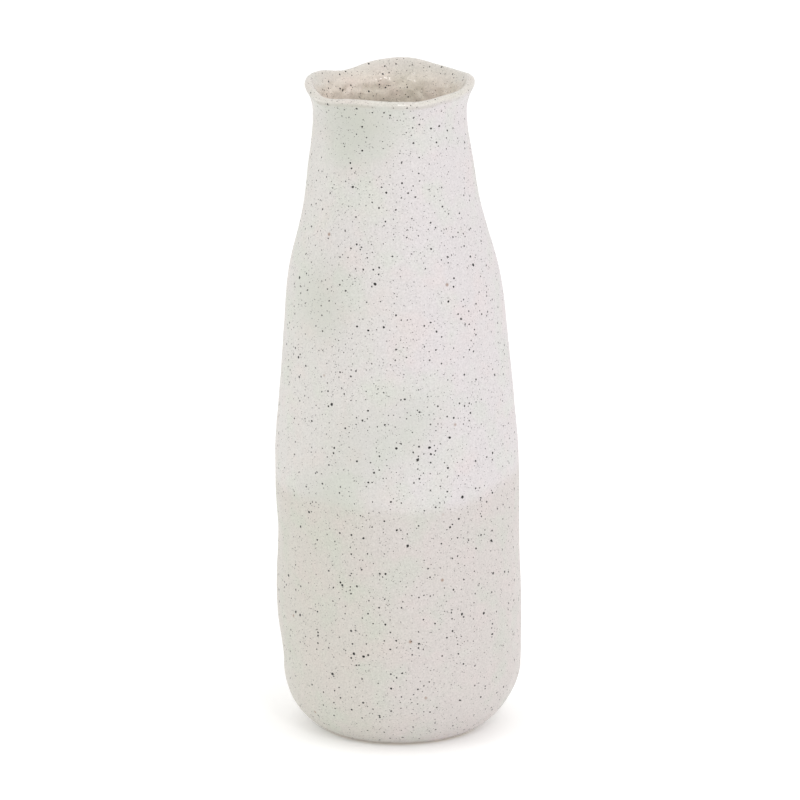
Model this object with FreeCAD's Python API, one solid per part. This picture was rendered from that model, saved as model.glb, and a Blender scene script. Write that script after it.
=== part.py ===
import FreeCAD, Part
import math
import os

# A hand-built stoneware vase, in millimetres. It rests on z = 0, +Z is up and the front faces -Y.
#
# The clay is a floor slab, a coil pressed into the inside corner, three wall sections that are luted
# together with bevelled joints, and a lip coil. Three glaze coats lie on the clay: a base glaze on
# the lower outside, a white glaze on the upper outside, and a liner that wraps over the lip.
#
# All of them follow one free-form outer surface, given by its radius at each angle and height round
# a centre that leans as it rises. A piece is a ring of upright sections lofted round the vase.

# The outside: height and half width
BODY = (
    (0.0, 53.5),
    (60.0, 55.0),
    (120.0, 54.5),
    (150.0, 52.5),
    (180.0, 50.0),
    (210.0, 47.0),
    (240.0, 39.5),
    (260.0, 36.5),
    (282.0, 34.0),
)
WAIST = BODY[-1][0]

# How far the centre leans towards +X at the foot and at the waist, and how late it leans
LEAN_FOOT = 0.5
LEAN_WAIST = -4.0
LEAN_POWER = 2.0

# The rounded turn at the foot: how far it draws in, how high it reaches, and its fullness
FOOT_DRAW = 20.5
FOOT_RISE = 27.0
FOOT_POWER = 1.6

# Dents and swellings left by the hand: angle, height, depth outwards, spread in degrees, half height
DENTS = (
    (180, 135, 0.7, 40, 24),
    (180, 90, -1.0, 38, 14),
    (180, 30, -2.3, 38, 15),
    (0, 90, -1.0, 40, 30),
    (237, 279, -1.2, 24, 12),
    (262, 205, -0.7, 22, 18),
    (60, 150, -1.3, 30, 30),
    (105, 66, 0.8, 36, 24),
    (285, 62, 0.8, 36, 26),
    (28, 226, -0.9, 26, 20),
)

# The lip: mean height of its edge, how far it flares, and its waves as angle, size, spread
RIM_HEIGHT = 296.2
RIM_WAVES = (
    (4, 1.8, 20),
    (80, 2.4, 26),
    (124, -2.0, 15),
    (170, 1.1, 20),
    (217, -2.2, 19),
    (270, -1.1, 40),
    (292, -0.8, 14),
)
FLARE = 4.3
FLARE_WAVES = ((222, 1.2, 16), (80, 0.5, 30), (124, -0.5, 16), (268, -0.4, 26))

# The line where the white glaze stops: mean height, and its waves as angle, size, spread
DIP_HEIGHT = 113.6
DIP_WAVES = ((345, 6.2, 30), (282, -1.6, 28), (150, 1.5, 40))

# Clay
WALL_LOW = 5.4
WALL_HIGH = 4.2
LIP_WALL = 2.9
FOOT_THICKENING = 0.1
FLOOR_TOP = 8.0
RECESS_RADIUS = 28.0
RECESS_SLOPE = 2.5
RECESS_DEPTH = 1.2
COIL_TOP = 22.0
COIL_REACH = 12.0
LOWER_JOINT = 88.0
SHOULDER_JOINT = 198.0
BEVEL = 5.0

# Glaze
OUTER_GLAZE = 0.5
BASE_GLAZE = 0.4
LINER_GLAZE = 0.4
BASE_GLAZE_FOOT = 1.0
LINER_EDGE = 0.94
LINER_WAVES = ((200, 0.04, 18), (255, -0.04, 14), (300, 0.03, 22), (60, -0.04, 30))

# How the forms are drawn: sections round the vase, points along a run of each section, the
# circle inside which a form is closed flat, and the two sides of the lip as turns round its edge
SECTIONS = 48
WALL_POINTS = 14
FOOT_BUNCHING = 1.7
ARC_POINTS = 6
HUB_RADIUS = 10.0
TOUCHING = 1e-6
OUTER = 0.0
INNER = math.pi


def waves(angle, bumps):
    """Sum of smooth bumps round the vase, each at its own angle, in degrees."""
    total = 0.0
    for centre, size, spread in bumps:
        away = (math.degrees(angle) - centre + 180) % 360 - 180
        total += size * math.exp(-((away / spread) ** 2))
    return total


def slope(index):
    """Steepness of BODY at a station, which is upright at the waist."""
    if index == len(BODY) - 1:
        return 0.0
    before = BODY[max(index - 1, 0)]
    after = BODY[index + 1]
    return (after[1] - before[1]) / (after[0] - before[0])


def half_width(height):
    """Half width of the outside at a height, on a smooth curve through the stations."""
    height = min(max(height, 0.0), WAIST)
    low = max(i for i in range(len(BODY) - 1) if BODY[i][0] <= height)
    step = BODY[low + 1][0] - BODY[low][0]
    t = (height - BODY[low][0]) / step
    start = (1 + 2 * t) * BODY[low][1] + t * step * slope(low)
    end = (3 - 2 * t) * BODY[low + 1][1] - (1 - t) * step * slope(low + 1)
    return (1 - t) ** 2 * start + t * t * end


def lean(height):
    """How far the centre is towards +X at a height."""
    share = min(max(height / WAIST, 0.0), 1.0)
    return LEAN_FOOT + (LEAN_WAIST - LEAN_FOOT) * share**LEAN_POWER


def foot_inset(height):
    """How far the rounded foot is drawn in from the wall at a height."""
    share = max(0.0, 1 - height / FOOT_RISE)
    return FOOT_DRAW * (1 - (1 - share**FOOT_POWER) ** (1 / FOOT_POWER))


def outside(angle, height):
    """Radius of the glazed outside, up to the waist."""
    radius = half_width(height) - foot_inset(height)
    for centre, middle, depth, spread, half_height in DENTS:
        here = depth * math.exp(-(((height - middle) / half_height) ** 2))
        radius += waves(angle, ((centre, here, spread),))
    return radius


def inside(angle, height):
    """Radius of the bare clay inside the wall, up to the waist."""
    wall = WALL_LOW + (WALL_HIGH - WALL_LOW) * height / WAIST
    return outside(angle, height) - OUTER_GLAZE - wall - FOOT_THICKENING * foot_inset(height)


def place(angle, radius, height):
    """Point in space at an angle, radius and height, round the leaning centre."""
    x = lean(height) + radius * math.cos(angle)
    return FreeCAD.Vector(x, radius * math.sin(angle), height)


def lip_middle(angle, share):
    """Middle of the lip's clay, from 0 at the waist to 1 near the edge: radius, height, tilt."""
    rise = RIM_HEIGHT + waves(angle, RIM_WAVES) - WAIST - LIP_WALL / 2 - LINER_GLAZE
    flare = FLARE + waves(angle, FLARE_WAVES)
    radius = outside(angle, WAIST) - OUTER_GLAZE - WALL_HIGH / 2 + flare * share**2
    return radius, WAIST + rise * share, math.atan2(2 * flare * share, rise)


def lip_point(angle, share, turn, skin=0.0):
    """Point on the lip, or a skin off it. A turn of 0 is its outer side and pi its inner side."""
    radius, height, tilt = lip_middle(angle, share)
    reach = (WALL_HIGH + (LIP_WALL - WALL_HIGH) * share) / 2 + skin
    radius += reach * math.cos(turn - tilt)
    height += reach * math.sin(turn - tilt)
    return place(angle, radius, height)


def spaced(start, end, count, bunching=1.0):
    """Numbers from start to end, packed towards the start by a bunching above 1."""
    return [start + (end - start) * (i / count) ** bunching for i in range(count + 1)]


def outer_line(angle, low, high, skin=0.0):
    """Points up the outside, a skin off the finished glaze."""
    bunching = FOOT_BUNCHING if low < FOOT_RISE else 1.0
    heights = spaced(low, high, WALL_POINTS, bunching)
    return [place(angle, outside(angle, z) + skin, z) for z in heights]


def inner_line(angle, low, high, skin=0.0):
    """Points up the clay's inside, or a skin of glaze off it."""
    heights = spaced(low, high, WALL_POINTS)
    return [place(angle, inside(angle, z) - skin, z) for z in heights]


def lip_line(angle, start, end, turn, skin=0.0):
    """Points along one side of the lip's clay, or a skin off it, between two shares."""
    return [lip_point(angle, share, turn, skin) for share in spaced(start, end, ARC_POINTS)]


def lip_edge(angle, skin=0.0):
    """Points over the rounded edge of the lip, from its outer side to its inner side."""
    return [lip_point(angle, 1.0, turn, skin) for turn in spaced(OUTER, INNER, ARC_POINTS)]


def coil_line(angle, skin=0.0):
    """Points down the hollow face of the corner coil, which sags towards the corner."""
    corner = place(angle, inside(angle, FLOOR_TOP) - skin, FLOOR_TOP + skin)
    top = place(angle, inside(angle, COIL_TOP) - skin, COIL_TOP)
    toe = place(angle, inside(angle, FLOOR_TOP) - COIL_REACH, FLOOR_TOP + skin)
    shares = spaced(0.0, 1.0, ARC_POINTS)
    return [top * (1 - t) ** 2 + corner * 2 * t * (1 - t) + toe * t**2 for t in shares]


def hub_point(angle, radius, height):
    """Point on a true circle round the origin."""
    return FreeCAD.Vector(radius * math.cos(angle), radius * math.sin(angle), height)


def edge_through(points):
    """Smooth edge through points, or a straight one between two of them."""
    if len(points) == 2:
        return Part.LineSegment(points[0], points[1]).toShape()
    curve = Part.BSplineCurve()
    steps = [i / (len(points) - 1) for i in range(len(points))]
    curve.interpolate(Points=points, Parameters=steps)
    return curve.toShape()


def wires_round(outline):
    """Wires of an outline, which lists its runs of points at an angle, all round the vase."""
    angles = [2 * math.pi * i / SECTIONS for i in range(SECTIONS)]
    return [Part.Wire([edge_through(run) for run in outline(angle)]) for angle in angles]


def closed_runs(*runs):
    """The runs of points, with a straight run across each gap and from the last to the first."""
    joined = []
    for run, following in zip(runs, runs[1:] + runs[:1]):
        joined.append(run)
        if run[-1].distanceToPoint(following[0]) > TOUCHING:
            joined.append([run[-1], following[0]])
    return joined


def ring(outline):
    """Solid ring lofted from closed outlines."""
    return Part.makeLoft(wires_round(outline), True, False, True)


def disc(outline):
    """Solid lofted from open outlines, closed flat across its two open ends."""
    shell = Part.makeLoft(wires_round(outline), False, False, True)
    faces = list(shell.Faces)
    for edge in Part.Shell(faces).getFreeEdges().Edges:
        faces.append(Part.Face(Part.Wire([edge])))
    closed = Part.Shell(faces)
    closed.sewShape()
    return Part.Solid(closed)


def slab(outline):
    """Disc with a shallow recess turned out of its underside, which leaves a flat contact ring."""
    recess = Part.makeCone(RECESS_RADIUS, RECESS_RADIUS - RECESS_SLOPE, RECESS_DEPTH)
    return disc(outline).cut(recess).Solids[0]


def floor_slab(angle):
    """Rounded rim of the slab under the walls."""
    return [outer_line(angle, 0.0, FLOOR_TOP, -OUTER_GLAZE)[::-1]]


def corner_coil(angle):
    """Coil pressed into the corner between the floor and the wall."""
    wall = inner_line(angle, FLOOR_TOP, COIL_TOP)
    return closed_runs(wall, coil_line(angle))


def wall_section(low, high, low_bevel=BEVEL):
    """Outline of a wall between two joints, each higher outside than inside."""

    def outline(angle):
        outer = outer_line(angle, low + low_bevel / 2, high + BEVEL / 2, -OUTER_GLAZE)
        inner = inner_line(angle, low - low_bevel / 2, high - BEVEL / 2)
        return closed_runs(outer, inner[::-1])

    return outline


def lip_coil(angle):
    """Thinned, flared coil on top of the neck, with a wavy rounded edge."""
    return closed_runs(
        lip_line(angle, 0.0, 1.0, OUTER),
        lip_edge(angle),
        lip_line(angle, 1.0, 0.0, INNER),
        inner_line(angle, WAIST - BEVEL, WAIST)[::-1],
    )


def base_glaze(angle):
    """Glaze on the lower outside, from just off the foot up to the dip line."""
    top = DIP_HEIGHT + waves(angle, DIP_WAVES)
    exposed = outer_line(angle, BASE_GLAZE_FOOT, top, BASE_GLAZE - OUTER_GLAZE)
    backing = outer_line(angle, BASE_GLAZE_FOOT, top, -OUTER_GLAZE)
    return closed_runs(exposed, backing[::-1])


def dip_glaze(angle):
    """White glaze on the upper outside, from the dip line up to the liner on the lip."""
    low = DIP_HEIGHT + waves(angle, DIP_WAVES)
    edge = liner_share(angle)
    return closed_runs(
        outer_line(angle, low, WAIST),
        lip_line(angle, 0.0, edge, OUTER, OUTER_GLAZE),
        lip_line(angle, edge, 0.0, OUTER),
        outer_line(angle, low, WAIST, -OUTER_GLAZE)[::-1],
    )


def liner_share(angle):
    """Share of the lip's outer side where the liner glaze ends."""
    return LINER_EDGE + waves(angle, LINER_WAVES)


def liner_side(angle, skin):
    """Runs of points from the floor, up the inside and over the lip, a skin off the clay."""
    toe = coil_line(angle, skin)[::-1]
    return [
        [hub_point(angle, HUB_RADIUS, FLOOR_TOP + skin), toe[0]],
        toe,
        inner_line(angle, COIL_TOP, WAIST, skin),
        lip_line(angle, 0.0, 1.0, INNER, skin),
        lip_edge(angle, skin)[::-1],
        lip_line(angle, 1.0, liner_share(angle), OUTER, skin),
    ]


def liner_glaze(angle):
    """Glossy glaze over the floor, the inside and the edge of the lip."""
    exposed = liner_side(angle, LINER_GLAZE)
    backing = [run[::-1] for run in reversed(liner_side(angle, 0.0))]
    return exposed + [[exposed[-1][-1], backing[0][0]]] + backing


PIECES = {
    "floor_slab": (slab, floor_slab),
    "corner_coil": (ring, corner_coil),
    "lower_wall": (ring, wall_section(FLOOR_TOP, LOWER_JOINT, low_bevel=0.0)),
    "shoulder_wall": (ring, wall_section(LOWER_JOINT, SHOULDER_JOINT)),
    "neck_wall": (ring, wall_section(SHOULDER_JOINT, WAIST - BEVEL / 2)),
    "lip_coil": (ring, lip_coil),
    "base_glaze": (ring, base_glaze),
    "dip_glaze": (ring, dip_glaze),
    "liner_glaze": (disc, liner_glaze),
}

os.makedirs("parts", exist_ok=True)
for name, (form, outline) in PIECES.items():
    solid = form(outline)
    solid.exportStep(f"parts/{name}.step")
    print(name, solid.ShapeType, solid.isValid(), round(solid.Volume / 1000, 2), "cm3")
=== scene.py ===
import math

import bpy
import numpy as np
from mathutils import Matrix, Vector, noise


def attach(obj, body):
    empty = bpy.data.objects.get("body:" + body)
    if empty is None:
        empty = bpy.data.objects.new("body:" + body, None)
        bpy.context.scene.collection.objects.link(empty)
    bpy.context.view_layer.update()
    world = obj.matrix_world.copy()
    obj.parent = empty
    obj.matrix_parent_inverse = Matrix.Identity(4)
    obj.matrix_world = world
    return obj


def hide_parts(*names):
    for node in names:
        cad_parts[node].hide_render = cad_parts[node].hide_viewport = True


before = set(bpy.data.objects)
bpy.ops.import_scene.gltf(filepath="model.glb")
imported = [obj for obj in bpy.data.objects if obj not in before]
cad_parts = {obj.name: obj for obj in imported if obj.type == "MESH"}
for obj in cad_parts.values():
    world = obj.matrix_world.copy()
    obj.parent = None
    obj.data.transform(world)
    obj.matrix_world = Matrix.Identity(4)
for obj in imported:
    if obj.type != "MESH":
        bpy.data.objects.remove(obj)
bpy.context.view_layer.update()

# A hand-built stoneware vase. The clay comes from the frame, with a clay material. The three glaze
# coats are rebuilt here as finer skins over the same clay, with the hand's marks in their surface.
# Shapes are in millimetres, as the part is designed, and become metres when a mesh is made.

MM = 0.001

# The outside: height and half width
BODY = np.array(
    [
        (0.0, 53.5),
        (60.0, 55.0),
        (120.0, 54.5),
        (150.0, 52.5),
        (180.0, 50.0),
        (210.0, 47.0),
        (240.0, 39.5),
        (260.0, 36.5),
        (282.0, 34.0),
    ]
)
WAIST = BODY[-1, 0]

# How far the centre leans towards +X at the foot and at the waist, and how late it leans
LEAN_FOOT = 0.5
LEAN_WAIST = -4.0
LEAN_POWER = 2.0

# The rounded turn at the foot
FOOT_DRAW = 20.5
FOOT_RISE = 27.0
FOOT_POWER = 1.6

# Dents and swellings left by the hand: angle, height, depth outwards, spread in degrees,
# half height
DENTS = (
    (180, 135, 0.7, 40, 24),
    (180, 90, -1.0, 38, 14),
    (180, 30, -2.3, 38, 15),
    (0, 90, -1.0, 40, 30),
    (237, 279, -1.2, 24, 12),
    (262, 205, -0.7, 22, 18),
    (60, 150, -1.3, 30, 30),
    (105, 66, 0.8, 36, 24),
    (285, 62, 0.8, 36, 26),
    (28, 226, -0.9, 26, 20),
)

# The lip, the dip line and the liner's edge, each as a mean and waves of angle, size, spread
RIM_HEIGHT = 296.2
RIM_WAVES = (
    (4, 1.8, 20),
    (80, 2.4, 26),
    (124, -2.0, 15),
    (170, 1.1, 20),
    (217, -2.2, 19),
    (270, -1.1, 40),
    (292, -0.8, 14),
)
FLARE = 4.3
FLARE_WAVES = ((222, 1.2, 16), (80, 0.5, 30), (124, -0.5, 16), (268, -0.4, 26))
DIP_HEIGHT = 113.6
DIP_WAVES = ((345, 6.2, 30), (282, -1.6, 28), (150, 1.5, 40))
LINER_EDGE = 0.94
LINER_WAVES = ((200, 0.04, 18), (255, -0.04, 14), (300, 0.03, 22), (60, -0.04, 30))

# Clay and glaze
WALL_LOW = 5.4
WALL_HIGH = 4.2
LIP_WALL = 2.9
FOOT_THICKENING = 0.1
FLOOR_TOP = 8.0
COIL_TOP = 22.0
COIL_REACH = 12.0
OUTER_GLAZE = 0.5
LINER_GLAZE = 0.4
BASE_GLAZE_FOOT = 1.0

# How the skins are drawn. Under its crest the liner turns white within the lip band. Inside the
# mouth the cream colour and the finger marks come in downwards, each from its top over its fade.
# The liner's first rows start on the outside of the lip and go from the outside's marks to the
# lip's own. The base glaze's rows are packed towards the foot, and the liner's are closer above a
# height inside, because the neck is seen through the mouth. The floor's skin closes to its middle
# in a fan, whose edge is at a share of the floor's radius.
COLUMNS = 360
LIP_BAND = 4.0
CREAM_TOP = RIM_HEIGHT + 1.0
CREAM_FADE = 10.0
MARKS_TOP = RIM_HEIGHT - 1.0
MARKS_FADE = 5.0
LIP_START_ROWS = 7
GLAZE_BUNCHING = 1.25
FINE_INSIDE = 210.0
FLOOR_FAN = 0.08
SHARP_ANGLE = math.radians(50)
ANGLES = np.arange(COLUMNS) * 2 * math.pi / COLUMNS
OUTER, INNER = 0.0, math.pi


# ---------------------------------------------------------------- shape of the clay and its skins


def waves(bumps):
    """Sum of smooth bumps at each column's angle."""
    total = np.zeros(COLUMNS)
    for centre, size, spread in bumps:
        away = (np.degrees(ANGLES) - centre + 180) % 360 - 180
        total += size * np.exp(-((away / spread) ** 2))
    return total


def half_width(height):
    """Half width of the outside at each height, on a smooth curve that is upright at the waist."""
    stations, values = BODY[:, 0], BODY[:, 1]
    slopes = np.empty(len(BODY))
    slopes[0] = (values[1] - values[0]) / (stations[1] - stations[0])
    slopes[1:-1] = (values[2:] - values[:-2]) / (stations[2:] - stations[:-2])
    slopes[-1] = 0.0
    height = np.clip(height, 0.0, WAIST)
    low = np.clip(np.searchsorted(stations, height, side="right") - 1, 0, len(BODY) - 2)
    step = stations[low + 1] - stations[low]
    t = (height - stations[low]) / step
    start = (1 + 2 * t) * values[low] + t * step * slopes[low]
    end = (3 - 2 * t) * values[low + 1] - (1 - t) * step * slopes[low + 1]
    return (1 - t) ** 2 * start + t * t * end


def lean(height):
    """How far the centre is towards +X at each height."""
    share = np.clip(np.asarray(height) / WAIST, 0.0, 1.0)
    return LEAN_FOOT + (LEAN_WAIST - LEAN_FOOT) * share**LEAN_POWER


def foot_inset(height):
    """How far the rounded foot is drawn in from the wall."""
    share = np.maximum(0.0, 1 - height / FOOT_RISE)
    return FOOT_DRAW * (1 - (1 - share**FOOT_POWER) ** (1 / FOOT_POWER))


def outside(height):
    """Radius of the glazed outside, up to the waist."""
    radius = half_width(height) - foot_inset(height)
    for centre, middle, depth, spread, half_height in DENTS:
        here = depth * np.exp(-(((height - middle) / half_height) ** 2))
        radius = radius + here * waves(((centre, 1.0, spread),))
    return radius


def inside(height):
    """Radius of the bare clay inside the wall, up to the waist."""
    wall = WALL_LOW + (WALL_HIGH - WALL_LOW) * height / WAIST
    return outside(height) - OUTER_GLAZE - wall - FOOT_THICKENING * foot_inset(height)


def place(radius, height):
    """Points in space, one row of columns for each row of radii."""
    radius, height = np.broadcast_arrays(radius, height)
    x = lean(height) + radius * np.cos(ANGLES)
    return np.stack([x, radius * np.sin(ANGLES), height], axis=-1)


def spaced(start, end, count, bunching=1.0):
    """Rows of values from start to end, packed towards the start by a bunching above 1."""
    share = (np.arange(count + 1)[:, None] / count) ** bunching
    return start + (end - start) * share + np.zeros(COLUMNS)


def outer_rows(low, high, count, skin=0.0, bunching=1.0):
    """Rows of points up the outside, a skin off the finished glaze."""
    height = spaced(low, high, count, bunching)
    return place(outside(height) + skin, height)


def inner_rows(low, high, count, skin=0.0, bunching=1.0):
    """Rows of points up the clay's inside, or a skin of glaze off it."""
    height = spaced(low, high, count, bunching)
    return place(inside(height) - skin, height)


def lip_rows(share, turn, skin):
    """Rows of points on the lip at shares of its height, turned round its edge from its outside."""
    rise = RIM_HEIGHT + waves(RIM_WAVES) - WAIST - LIP_WALL / 2 - LINER_GLAZE
    flare = FLARE + waves(FLARE_WAVES)
    radius = outside(np.array([[WAIST]])) - OUTER_GLAZE - WALL_HIGH / 2 + flare * share**2
    tilt = np.arctan2(2 * flare * share, rise)
    reach = (WALL_HIGH + (LIP_WALL - WALL_HIGH) * share) / 2 + skin
    radius = radius + reach * np.cos(turn - tilt)
    x = LEAN_WAIST + radius * np.cos(ANGLES)
    height = WAIST + rise * share + reach * np.sin(turn - tilt)
    return np.stack([x, radius * np.sin(ANGLES), height + 0 * x], axis=-1)


def coil_rows(count, skin):
    """Rows of points down the hollow face of the coil in the inside corner."""
    foot = np.array([[FLOOR_TOP]])
    corner = place(inside(foot) - skin, foot + skin)
    top = place(inside(np.array([[COIL_TOP]])) - skin, np.array([[COIL_TOP]]))
    toe = place(inside(foot) - COIL_REACH, foot + skin)
    t = spaced(0.0, 1.0, count)[:, :, None]
    return top * (1 - t) ** 2 + corner * 2 * t * (1 - t) + toe * t**2


def joined(*runs):
    """One run of rows from several that follow on, each sharing its first row with the last."""
    return np.concatenate([runs[0]] + [run[1:] for run in runs[1:]])


# ---------------------------------------------------------------- marks of the hand


def ripple(points, stretch, seed):
    """Smooth noise from about -1 to 1 at each point, with the size of its waves along X, Y, Z."""
    scaled = points.reshape(-1, 3) / np.array(stretch) + seed
    values = [noise.fractal(Vector(p), 0.8, 2.0, 3) for p in scaled]
    return np.array(values).reshape(points.shape[:-1])


def pushed_out(points, amount):
    """Points moved along the surface's own normals."""
    around = np.roll(points, -1, axis=1) - np.roll(points, 1, axis=1)
    along = np.gradient(points, axis=0)
    normal = np.cross(around, along)
    normal /= np.linalg.norm(normal, axis=-1, keepdims=True)
    return points + normal * amount[..., None]


def outside_marks(points):
    """Lumps and faint wiping marks of the outside, in millimetres."""
    lumps = 0.22 * ripple(points, (24, 24, 30), 3.0)
    wiping = 0.06 * ripple(points, (40, 40, 5), 11.0)
    return lumps + wiping


def inside_marks(points):
    """Finger ridges and dimples of the inside, in millimetres, which fade out over the lip."""
    ridges = 0.40 * ripple(points, (22, 22, 8), 23.0)
    dimples = 0.45 * ripple(points, (7, 7, 5), 31.0)
    crinkles = 0.16 * ripple(points, (2.6, 2.6, 1.8), 41.0)
    below_lip = np.clip((MARKS_TOP - points[..., 2]) / MARKS_FADE, 0.0, 1.0)
    return np.maximum(0.30 + ridges + dimples + crinkles, -0.25) * below_lip


def lip_marks(points):
    """Small unevenness of the glaze that has run over the lip, in millimetres."""
    return 0.16 * ripple(points, (7, 7, 7), 5.0)


# ---------------------------------------------------------------- meshes


def mesh_piece(name, rows, poles=None):
    """Closed mesh through rows of points. Poles are two points that close it at its two ends."""
    count = len(rows)
    points = [tuple(p * MM) for p in rows.reshape(-1, 3)]
    last = count if poles is None else count - 1
    faces = []
    for row in range(last):
        here, above = row * COLUMNS, (row + 1) % count * COLUMNS
        for i in range(COLUMNS):
            j = (i + 1) % COLUMNS
            faces.append((here + i, here + j, above + j, above + i))
    if poles is not None:
        start, end = len(points), len(points) + 1
        points += [tuple(np.array(p) * MM) for p in poles]
        top = (count - 1) * COLUMNS
        for i in range(COLUMNS):
            j = (i + 1) % COLUMNS
            faces.append((start, j, i))
            faces.append((end, top + i, top + j))
    mesh = bpy.data.meshes.new(name)
    mesh.from_pydata(points, [], faces)
    mesh.shade_smooth()
    mesh.set_sharp_from_angle(angle=SHARP_ANGLE)
    piece = bpy.data.objects.new(name, mesh)
    bpy.context.scene.collection.objects.link(piece)
    return piece


def set_attribute(piece, name, values):
    """Stores one number for each point of a piece, for its material to read."""
    attribute = piece.data.attributes.new(name, "FLOAT", "POINT")
    attribute.data.foreach_set("value", np.asarray(values, np.float32).ravel())


def height_over_dip(piece):
    """Height of each point over the dip line, in millimetres."""
    co = np.array([v.co for v in piece.data.vertices]) / MM
    angle = np.arctan2(co[:, 1], co[:, 0] - lean(co[:, 2]))
    line = DIP_HEIGHT + waves(DIP_WAVES)
    return co[:, 2] - np.interp(angle % (2 * math.pi), ANGLES, line, period=2 * math.pi)


def below_crest(points):
    """How far points lie below the lip's crest, from 0 at it to 1 at the foot of the lip band."""
    crest = lip_rows(1.0, spaced(INNER, OUTER, 15), LINER_GLAZE)[..., 2].max(axis=0)
    return np.clip((crest - points[..., 2]) / LIP_BAND, 0.0, 1.0)


def finish_piece(piece, node, material):
    """Stands a piece in for a glaze node."""
    piece.data.materials.append(material)
    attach(piece, "root")
    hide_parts(node)


def make_base_glaze():
    """Glaze on the lower outside, from just off the foot up to the dip line."""
    top = DIP_HEIGHT + waves(DIP_WAVES)
    exposed = outer_rows(BASE_GLAZE_FOOT, top, 120, 0.0, GLAZE_BUNCHING)
    exposed = pushed_out(exposed, outside_marks(exposed))
    backing = outer_rows(BASE_GLAZE_FOOT, top, 40, -OUTER_GLAZE, GLAZE_BUNCHING)
    piece = mesh_piece("base_glaze_coat", np.concatenate([exposed, backing[::-1]]))
    set_attribute(piece, "over_dip", height_over_dip(piece))
    return piece


def make_dip_glaze():
    """White glaze on the upper outside, from the dip line to the liner's edge on the lip."""
    low = DIP_HEIGHT + waves(DIP_WAVES)
    edge = LINER_EDGE + waves(LINER_WAVES)
    exposed = joined(
        outer_rows(low, WAIST, 150),
        lip_rows(spaced(0.0, edge, 12), OUTER, OUTER_GLAZE),
    )
    exposed = pushed_out(exposed, outside_marks(exposed))
    backing = joined(
        outer_rows(low, WAIST, 60, -OUTER_GLAZE),
        lip_rows(spaced(0.0, edge, 12), OUTER, 0.0),
    )
    piece = mesh_piece("dip_glaze_coat", np.concatenate([exposed, backing[::-1]]))
    set_attribute(piece, "over_dip", height_over_dip(piece))
    hidden = np.ones(backing[..., 0].size)
    set_attribute(piece, "below_crest", [*below_crest(exposed).ravel(), *hidden])
    return piece


def liner_rows(skin, edge_skin, fineness):
    """Rows from the floor, up the inside, over the lip and down its outside to the liner's edge."""
    edge = LINER_EDGE + waves(LINER_WAVES)
    coil = coil_rows(4 * fineness, skin)[::-1]
    fan = np.zeros((1, COLUMNS, 3))
    fan[..., 2] = FLOOR_TOP + skin
    fan[..., :2] = FLOOR_FAN * coil[:1, :, :2]
    t = spaced(0.0, 1.0, 4 * fineness)[:, :, None]
    return joined(
        fan + (coil[:1] - fan) * t,
        coil,
        inner_rows(COIL_TOP, FINE_INSIDE, 15 * fineness, skin),
        inner_rows(FINE_INSIDE, WAIST, 24 * fineness, skin),
        lip_rows(spaced(0.0, 1.0, 5 * fineness), INNER, skin),
        lip_rows(1.0, spaced(INNER, OUTER, 5 * fineness), skin),
        lip_rows(spaced(1.0, edge, 2 * fineness), OUTER, spaced(skin, edge_skin, 2 * fineness)),
    )


def make_liner_glaze():
    """Glossy glaze over the floor, the inside and the edge of the lip."""
    exposed = liner_rows(LINER_GLAZE, OUTER_GLAZE, 3)[::-1]
    inner = np.arange(len(exposed))[:, None] > exposed[..., 2].argmax(axis=0)
    over_lip = np.clip(np.arange(len(exposed)) / LIP_START_ROWS, 0.0, 1.0)[:, None]
    marks = (1 - over_lip) * outside_marks(exposed) + over_lip * lip_marks(exposed)
    exposed = pushed_out(exposed, marks + inner * inside_marks(exposed))
    backing = liner_rows(0.0, 0.0, 1)
    poles = [(0, 0, FLOOR_TOP), (0, 0, FLOOR_TOP + LINER_GLAZE)]
    piece = mesh_piece("liner_glaze_coat", np.concatenate([backing, exposed]), poles)
    hidden = np.zeros(backing[..., 0].size)
    depth = inner * np.clip((CREAM_TOP - exposed[..., 2]) / CREAM_FADE, 0.0, 1.0)
    set_attribute(piece, "down_inside", [*hidden, *depth.ravel(), 1.0, 1.0])
    below = np.where(inner, 0.0, below_crest(exposed))
    set_attribute(piece, "below_crest", [*hidden, *below.ravel(), 0.0, 0.0])
    return piece


# ---------------------------------------------------------------- materials


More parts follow.
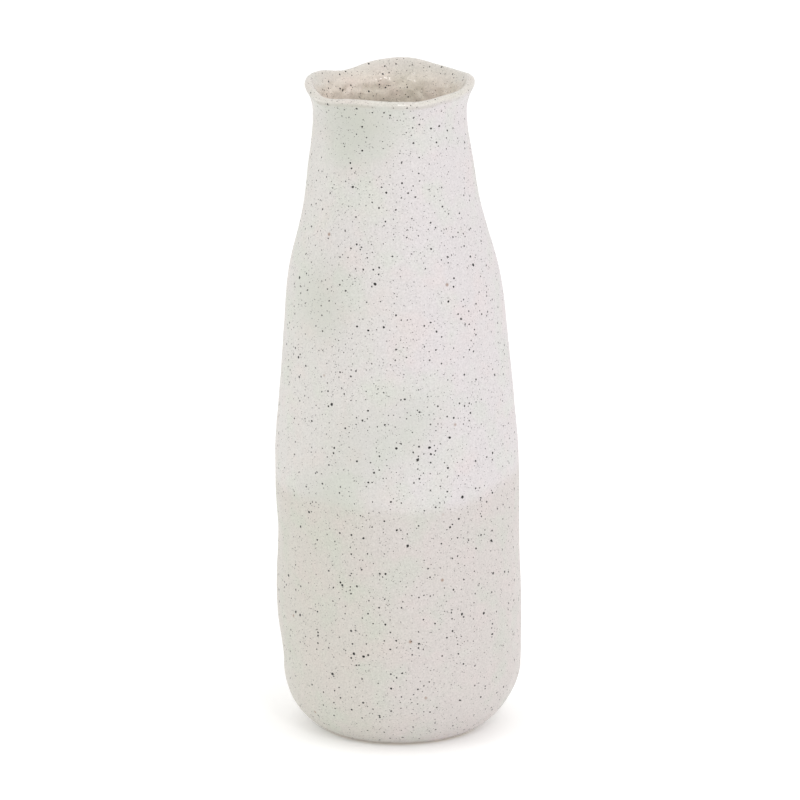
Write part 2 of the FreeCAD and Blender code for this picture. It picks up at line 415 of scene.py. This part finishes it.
class Graph:
    """A material's nodes, added in short calls."""

    def __init__(self, name):
        self.material = bpy.data.materials.new(name)
        self.material.use_nodes = True
        self.tree = self.material.node_tree
        self.tree.nodes.clear()
        self.shader = self.add("ShaderNodeBsdfPrincipled")
        out = self.add("ShaderNodeOutputMaterial")
        self.tree.links.new(self.shader.outputs["BSDF"], out.inputs["Surface"])
        coordinates = self.add("ShaderNodeTexCoord").outputs["Object"]
        self.mm = self.vector("SCALE", coordinates, scale=1 / MM)

    def add(self, kind, inputs=None, **settings):
        """A node with settings, and inputs that are values or other nodes' outputs."""
        node = self.tree.nodes.new(kind)
        for key, value in settings.items():
            setattr(node, key, value)
        for key, value in (inputs or {}).items():
            if isinstance(value, bpy.types.NodeSocket):
                self.tree.links.new(value, node.inputs[key])
            else:
                node.inputs[key].default_value = value
        return node

    def math(self, operation, a, b=0.0, clamp=False):
        """Output of a maths node."""
        node = self.add("ShaderNodeMath", {0: a, 1: b}, operation=operation, use_clamp=clamp)
        return node.outputs[0]

    def vector(self, operation, a, b=None, scale=None):
        """Output of a vector maths node."""
        inputs = {0: a}
        if b is not None:
            inputs[1] = b
        if scale is not None:
            inputs["Scale"] = scale
        return self.add("ShaderNodeVectorMath", inputs, operation=operation).outputs[0]

    def smooth(self, value, start, end, low=0.0, high=1.0):
        """Low before start, high after end, and a smooth step between."""
        names = ("Value", "From Min", "From Max", "To Min", "To Max")
        inputs = dict(zip(names, (value, start, end, low, high)))
        return self.add("ShaderNodeMapRange", inputs, interpolation_type="SMOOTHSTEP").outputs[0]

    def noise(self, size, detail=2.0, roughness=0.5, vector=None):
        """Noise from 0 to 1 whose waves are about size millimetres across."""
        source = self.mm if vector is None else vector
        inputs = {"Vector": source, "Scale": 1 / size, "Detail": detail, "Roughness": roughness}
        return self.add("ShaderNodeTexNoise", inputs).outputs["Fac"]

    def mix(self, factor, a, b, blend="MIX"):
        """Mix of two colours."""
        node = self.add("ShaderNodeMix", data_type="RGBA", blend_type=blend)
        for socket, value in ((0, factor), (6, a), (7, b)):
            if isinstance(value, bpy.types.NodeSocket):
                self.tree.links.new(value, node.inputs[socket])
            else:
                node.inputs[socket].default_value = value
        return node.outputs[2]

    def set(self, **values):
        """Values or links on the shader's own sockets, with _ for a space in a name."""
        for key, value in values.items():
            socket = self.shader.inputs[key.replace("_", " ")]
            if isinstance(value, bpy.types.NodeSocket):
                self.tree.links.new(value, socket)
            else:
                socket.default_value = value


def colour(red, green, blue):
    """Linear colour from its 0 to 255 display values."""
    shares = [value / 255 for value in (red, green, blue)]
    linear = [s / 12.92 if s <= 0.04045 else ((s + 0.055) / 1.055) ** 2.4 for s in shares]
    return (*linear, 1.0)


# Iron specks and blots, then the glazes: white, beige-grey, on the lip and inside the mouth; the
# grey of the patches of painted shade on the white, and the painted shade in the bend under the
# crest
BLACK_IRON = colour(9, 8, 8)
GREY_IRON = colour(40, 35, 34)
RUST_IRON = colour(140, 108, 86)
WHITE_PLAIN = colour(211, 206, 205)
WHITE_PINK = colour(215, 205, 203)
WHITE_GREEN = colour(206, 208, 200)
BEIGE_PLAIN = colour(203, 197, 192)
BEIGE_PINK = colour(207, 197, 193)
BEIGE_GREEN = colour(197, 199, 189)
LIP_PLAIN = colour(212, 208, 201)
LIP_PINK = colour(215, 206, 200)
LIP_GREEN = colour(208, 207, 198)
CREAM_PLAIN = colour(227, 217, 206)
CREAM_PINK = colour(231, 214, 205)
CREAM_GREEN = colour(221, 216, 201)
PATCH_SHADE_GREY = colour(193, 194, 186)
BEND_SHADE_COLOUR = colour(184, 178, 168)

# Tints of the outside towards -X and towards +X
GREEN_SIDE = (0.972, 1.0, 0.966, 1.0)
COOL_SIDE = (0.995, 1.0, 1.025, 1.0)

# Bare clay
CLAY_PLAIN = colour(196, 178, 152)
CLAY_WARM = colour(203, 176, 146)
CLAY_GREY = colour(184, 172, 152)

# How far the edge of a patch of painted shade wanders in or out
SHADE_PATCH_FRAY = 6.0

# Patches of painted shade, greenish grey, on the white glaze: centre, radius, share
SHADE_PATCHES = (
    ((-20.0, -32.0, 284.0), 32.0, 0.90),
    ((-34.0, -32.0, 205.0), 30.0, 0.60),
    ((-16.0, -52.0, 140.0), 30.0, 0.40),
    ((6.0, -52.0, 154.0), 26.0, 0.45),
    ((-30.0, -44.0, 112.0), 30.0, 0.60),
    ((30.0, 34.0, 240.0), 24.0, 0.45),
)

# Soft clouds in a ground colour: sizes of the warm and of the cool ones
WARM_CLOUD = 14.0
COOL_CLOUD = 16.0

# The dip line: how far its edge wanders and over what height the white comes in
DIP_FRAY = 5.0
DIP_FADE = 8.0

# Where the outside's tint starts and ends its change along X, once the fray is added to X, and the
# most that the fray adds
SIDE_START = -15.0
SIDE_END = 50.0
SIDE_FRAY = 50.0

# Under the crest, as shares of the lip band: over what stretch the liner turns white and the
# painted shade in the bend comes in, and over what stretch that painted shade goes. Where it is
# white, the liner is rougher by its satin.
WHITE_START = 0.30
WHITE_END = 0.60
SHADE_GOES = 0.62
SHADE_GONE = 0.95
SATIN = 0.30

# Beads in the liner, and rusty blots in every ground: spacings, and the beads' largest share of
# theirs
BEAD_SPACING = 2.6
BEAD_SIZE = 0.26
BLOT_SPACING = 21.0

# Share of a speck's radius that is fully dark
SPECK_CORE = 0.95

# Iron specks: spacing and largest radius in millimetres, least darkness, share left out, seed
SPECK_LAYERS = (
    (4.8, 0.70, 0.97, 0.20, 29.0),
    (2.5, 0.51, 0.97, 0.00, 13.0),
    (1.5, 0.29, 0.62, 0.00, 47.0),
    (0.85, 0.19, 0.25, 0.00, 71.0),
)


def specks(graph, spacing, radius, darkness, left_out, seed):
    """How much iron is at each point, from 0 to 1, in one layer of specks.

    The specks are uneven balls scattered through the glaze, which the surface cuts through."""
    inputs = {"Vector": graph.mm, "Scale": 0.4 / radius, "Detail": 1.0}
    wobble = graph.add("ShaderNodeTexNoise", inputs)
    moved = graph.vector("SCALE", wobble.outputs["Color"], scale=radius)
    shifted = graph.vector("ADD", graph.mm, (seed, seed * 0.7, seed * 1.3))
    scattered = graph.vector("ADD", shifted, moved)
    cells = graph.add("ShaderNodeTexVoronoi", {"Vector": scattered, "Scale": 1 / spacing})
    chance = graph.add("ShaderNodeSeparateColor", {"Color": cells.outputs["Color"]})
    size = graph.math("MULTIPLY", chance.outputs[0], radius / spacing)
    core = graph.math("MULTIPLY", size, SPECK_CORE)
    ball = graph.smooth(cells.outputs["Distance"], core, size, 1.0, 0.0)
    present = graph.math("GREATER_THAN", chance.outputs[1], left_out)
    depth = graph.smooth(chance.outputs[2], 0.0, 1.0, darkness, 1.0)
    return graph.math("MULTIPLY", graph.math("MULTIPLY", ball, present), depth, clamp=True)


def rust_blots(graph):
    """A few soft rusty blots, from 0 to 1."""
    moved = graph.vector("ADD", graph.mm, (5.0, 83.0, 19.0))
    cells = graph.add("ShaderNodeTexVoronoi", {"Vector": moved, "Scale": 1 / BLOT_SPACING})
    return graph.smooth(cells.outputs["Distance"], 0.015, 0.055, 0.75, 0.0)


def speckled(graph, ground, faint=1.0):
    """A ground colour with all sizes of iron speck in it, and the specks' total amount."""
    iron = graph.mix(graph.smooth(graph.noise(3.1, 0.0), 0.45, 0.75), BLACK_IRON, GREY_IRON)
    total = None
    for layer in SPECK_LAYERS:
        amount = specks(graph, *layer)
        total = amount if total is None else graph.math("MAXIMUM", total, amount)
    total = graph.math("MULTIPLY", total, faint)
    stained = graph.mix(rust_blots(graph), ground, RUST_IRON)
    return graph.mix(total, stained, iron), total


def mottled(graph, plain, warm, cool, strength=0.6):
    """Soft cloudy patches of two tints over a plain colour."""
    warm_patch = graph.smooth(graph.noise(WARM_CLOUD, 3.0), 0.45, 0.72, 0.0, strength)
    moved = graph.vector("ADD", graph.mm, (211.0, 57.0, 133.0))
    cool_noise = graph.noise(COOL_CLOUD, 3.0, vector=moved)
    cool_patch = graph.smooth(cool_noise, 0.45, 0.70, 0.0, strength)
    ground = graph.mix(cool_patch, graph.mix(warm_patch, plain, warm), cool)
    grain = graph.smooth(graph.noise(0.8, 3.0, 0.7), 0.3, 0.7, 0.90, 1.07)
    shade = graph.add("ShaderNodeCombineColor", {0: grain, 1: grain, 2: grain})
    return graph.mix(1.0, ground, shade.outputs[0], "MULTIPLY")


def shade_patched(graph, ground):
    """A ground colour with soft, frayed patches of painted shade."""
    for centre, radius, share in SHADE_PATCHES:
        away = graph.add("ShaderNodeVectorMath", {0: graph.mm, 1: centre}, operation="DISTANCE")
        fray = graph.math("MULTIPLY", graph.noise(9.0), 2 * SHADE_PATCH_FRAY)
        distance = graph.math("ADD", away.outputs["Value"], fray)
        # Each patch mixes in the greenish grey of painted shade.
        shaded = graph.smooth(distance, SHADE_PATCH_FRAY, radius + SHADE_PATCH_FRAY, share, 0.0)
        ground = graph.mix(shaded, ground, PATCH_SHADE_GREY)
    return ground


def painted_bend_shade(graph, ground):
    """A ground colour with a little painted shade in the bend just under the lip's crest."""
    below = graph.add("ShaderNodeAttribute", attribute_name="below_crest").outputs["Fac"]
    starts = graph.smooth(below, WHITE_START, WHITE_END)
    ends = graph.smooth(below, SHADE_GOES, SHADE_GONE, 1.0, 0.0)
    bend = graph.math("MULTIPLY", starts, ends)
    share = graph.math("MULTIPLY", bend, graph.smooth(graph.noise(8.0, 2.0), 0.3, 0.6, 0.15, 0.55))
    return graph.mix(share, ground, BEND_SHADE_COLOUR)


def white_ground(graph):
    """White glaze with its clouds and its patches of painted shade."""
    # The white gets its patches of painted shade here.
    return shade_patched(graph, mottled(graph, WHITE_PLAIN, WHITE_PINK, WHITE_GREEN))


def side_tint(graph, ground):
    """A ground colour that is a little greener towards -X and cooler towards +X."""
    along = graph.add("ShaderNodeSeparateXYZ", {0: graph.mm}).outputs["X"]
    fray = graph.math("MULTIPLY", graph.noise(24.0, 2.0), SIDE_FRAY)
    frayed = graph.math("ADD", along, fray)
    tint = graph.mix(graph.smooth(frayed, SIDE_START, SIDE_END), GREEN_SIDE, COOL_SIDE)
    return graph.mix(1.0, ground, tint, "MULTIPLY")


def glaze_beads(graph):
    """Small round beads in a glossy glaze, from 0 to 1."""
    cells = graph.add("ShaderNodeTexVoronoi", {"Vector": graph.mm, "Scale": 1 / BEAD_SPACING})
    chance = graph.add("ShaderNodeSeparateColor", {"Color": cells.outputs["Color"]}).outputs[0]
    size = graph.math("MULTIPLY", chance, BEAD_SIZE)
    return graph.smooth(cells.outputs["Distance"], 0.0, size, 1.0, 0.0)


def surface_bump(graph, specks_total, peel, pits, beads=0.0):
    """Orange peel, speck pits and beads as a bump, in millimetres."""
    height = graph.math("MULTIPLY", graph.noise(1.6, 2.0), peel)
    height = graph.math("SUBTRACT", height, graph.math("MULTIPLY", specks_total, pits))
    if beads > 0.0:
        height = graph.math("ADD", height, graph.math("MULTIPLY", glaze_beads(graph), beads))
    inputs = {"Height": height, "Strength": 1.0, "Distance": MM}
    return graph.add("ShaderNodeBump", inputs).outputs["Normal"]


def outer_glaze_material(name):
    """White glaze over beige-grey glaze, which meet softly at the dip line."""
    graph = Graph(name)
    beige = mottled(graph, BEIGE_PLAIN, BEIGE_PINK, BEIGE_GREEN)
    over = graph.add("ShaderNodeAttribute", attribute_name="over_dip").outputs["Fac"]
    frayed = graph.math("ADD", over, graph.math("MULTIPLY", graph.noise(7.0, 3.0), DIP_FRAY))
    covered = graph.smooth(frayed, 0.0, DIP_FADE)
    ground = side_tint(graph, graph.mix(covered, beige, white_ground(graph)))
    # Painted shade in the bend just under the lip's crest, where the white reaches the lip.
    finished, total = speckled(graph, painted_bend_shade(graph, ground))
    graph.set(
        Base_Color=finished,
        Roughness=graph.smooth(graph.noise(9.0, 3.0), 0.3, 0.7, 0.40, 0.52),
        Specular_IOR_Level=0.5,
        Normal=surface_bump(graph, total, 0.030, 0.05),
    )
    return graph.material


def liner_material():
    """Cream gloss glaze that turns white and satin on the outside of the lip."""
    graph = Graph("liner_gloss_glaze")
    inside_ground = mottled(graph, CREAM_PLAIN, CREAM_PINK, CREAM_GREEN)
    lip_ground = mottled(graph, LIP_PLAIN, LIP_PINK, LIP_GREEN)
    depth = graph.add("ShaderNodeAttribute", attribute_name="down_inside").outputs["Fac"]
    ground = graph.mix(graph.smooth(depth, 0.0, 1.0), lip_ground, inside_ground)
    below = graph.add("ShaderNodeAttribute", attribute_name="below_crest").outputs["Fac"]
    whitened = graph.smooth(below, WHITE_START, WHITE_END)
    ground = graph.mix(whitened, ground, side_tint(graph, white_ground(graph)))
    # Painted shade in the bend just under the lip's crest.
    finished, total = speckled(graph, painted_bend_shade(graph, ground))
    gloss = graph.smooth(graph.noise(7.0, 2.0), 0.3, 0.7, 0.09, 0.20)
    graph.set(
        Base_Color=finished,
        Roughness=graph.math("ADD", gloss, graph.math("MULTIPLY", whitened, SATIN)),
        Specular_IOR_Level=0.5,
        Normal=surface_bump(graph, total, 0.045, 0.05, 0.30),
    )
    return graph.material


def clay_material():
    """Bare fired stoneware with grog."""
    graph = Graph("bare_stoneware")
    ground = mottled(graph, CLAY_PLAIN, CLAY_WARM, CLAY_GREY)
    finished, total = speckled(graph, ground, 0.8)
    graph.set(
        Base_Color=finished,
        Roughness=graph.smooth(graph.noise(2.0, 3.0), 0.3, 0.7, 0.78, 0.92),
        Specular_IOR_Level=0.3,
        Normal=surface_bump(graph, total, 0.10, 0.05),
    )
    return graph.material


# ---------------------------------------------------------------- studio


def make_camera():
    """Long-lens camera in front of the vase and a little above it."""
    distance = 3.5
    elevation = math.radians(15.5)
    target = Vector((0.0006, 0.0, 0.150))
    data = bpy.data.cameras.new("camera")
    data.lens = 352.8
    data.sensor_width = 36.0
    data.clip_end = 100.0
    camera = bpy.data.objects.new("camera", data)
    back = Vector((0.0, -math.cos(elevation), math.sin(elevation)))
    camera.location = target + back * distance
    camera.rotation_mode = "QUATERNION"
    camera.rotation_quaternion = (-back).to_track_quat("-Z", "Y")
    bpy.context.scene.collection.objects.link(camera)
    bpy.context.scene.camera = camera


def make_light(name, location, size, power, tint=(1.0, 1.0, 1.0)):
    """Square soft box that faces the middle of the vase."""
    data = bpy.data.lights.new(name, "AREA")
    data.size = size
    data.energy = power
    data.color = tint
    light = bpy.data.objects.new(name, data)
    light.location = location
    aim = Vector((0.0, 0.0, 0.15)) - light.location
    light.rotation_mode = "QUATERNION"
    light.rotation_quaternion = aim.to_track_quat("-Z", "Y")
    bpy.context.scene.collection.objects.link(light)


def make_world(strength, tint):
    """Even, nearly white surroundings."""
    world = bpy.data.worlds.new("studio")
    world.use_nodes = True
    background = world.node_tree.nodes["Background"]
    background.inputs["Color"].default_value = (*tint, 1.0)
    background.inputs["Strength"].default_value = strength
    bpy.context.scene.world = world


def make_floor():
    """Wide pale floor that glows faintly, as a light table does."""
    half = 12.0
    mesh = bpy.data.meshes.new("floor")
    corners = [(-half, -half, 0.0), (half, -half, 0.0), (half, half, 0.0), (-half, half, 0.0)]
    mesh.from_pydata(corners, [], [(0, 1, 2, 3)])
    floor = bpy.data.objects.new("floor", mesh)
    bpy.context.scene.collection.objects.link(floor)
    graph = Graph("pale_floor")
    paper = graph.smooth(graph.noise(3.0, 3.0), 0.3, 0.7, 0.95, 0.97)
    graph.set(
        Base_Color=graph.add("ShaderNodeCombineColor", {0: paper, 1: paper, 2: paper}).outputs[0],
        Roughness=0.9,
        Specular_IOR_Level=0.1,
        Emission_Color=(1.0, 1.0, 1.0, 1.0),
        Emission_Strength=0.15,
    )
    mesh.materials.append(graph.material)


def make_studio():
    """Camera, floor, soft boxes all round and two small lamps that give the glints."""
    bpy.context.scene.view_settings.view_transform = "Standard"
    make_camera()
    make_floor()
    make_world(0.87, (1.0, 0.99, 0.975))
    make_light("key", (1.6, -1.4, 1.3), 1.6, 6.0, (1.0, 0.97, 1.0))
    make_light("glint", (0.5, -1.9, 1.7), 0.22, 5.0)
    make_light("glint_left", (-1.3, -1.3, 1.7), 0.18, 1.6)
    make_light("top", (0.0, -0.2, 2.2), 2.0, 7.0)
    make_light("left_edge", (-2.0, 0.6, 0.25), 1.2, 4.5)
    make_light("right_edge", (1.9, 0.9, 0.35), 1.2, 1.5)


# ---------------------------------------------------------------- making


make_studio()
outer_glaze = outer_glaze_material("outer_satin_glaze")
finish_piece(make_base_glaze(), "base_glaze", outer_glaze)
finish_piece(make_dip_glaze(), "dip_glaze", outer_glaze)
finish_piece(make_liner_glaze(), "liner_glaze", liner_material())

clay = clay_material()
for node in ("floor_slab", "corner_coil", "lower_wall", "shoulder_wall", "neck_wall", "lip_coil"):
    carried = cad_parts[node]
    carried.data.materials.clear()
    carried.data.materials.append(clay)
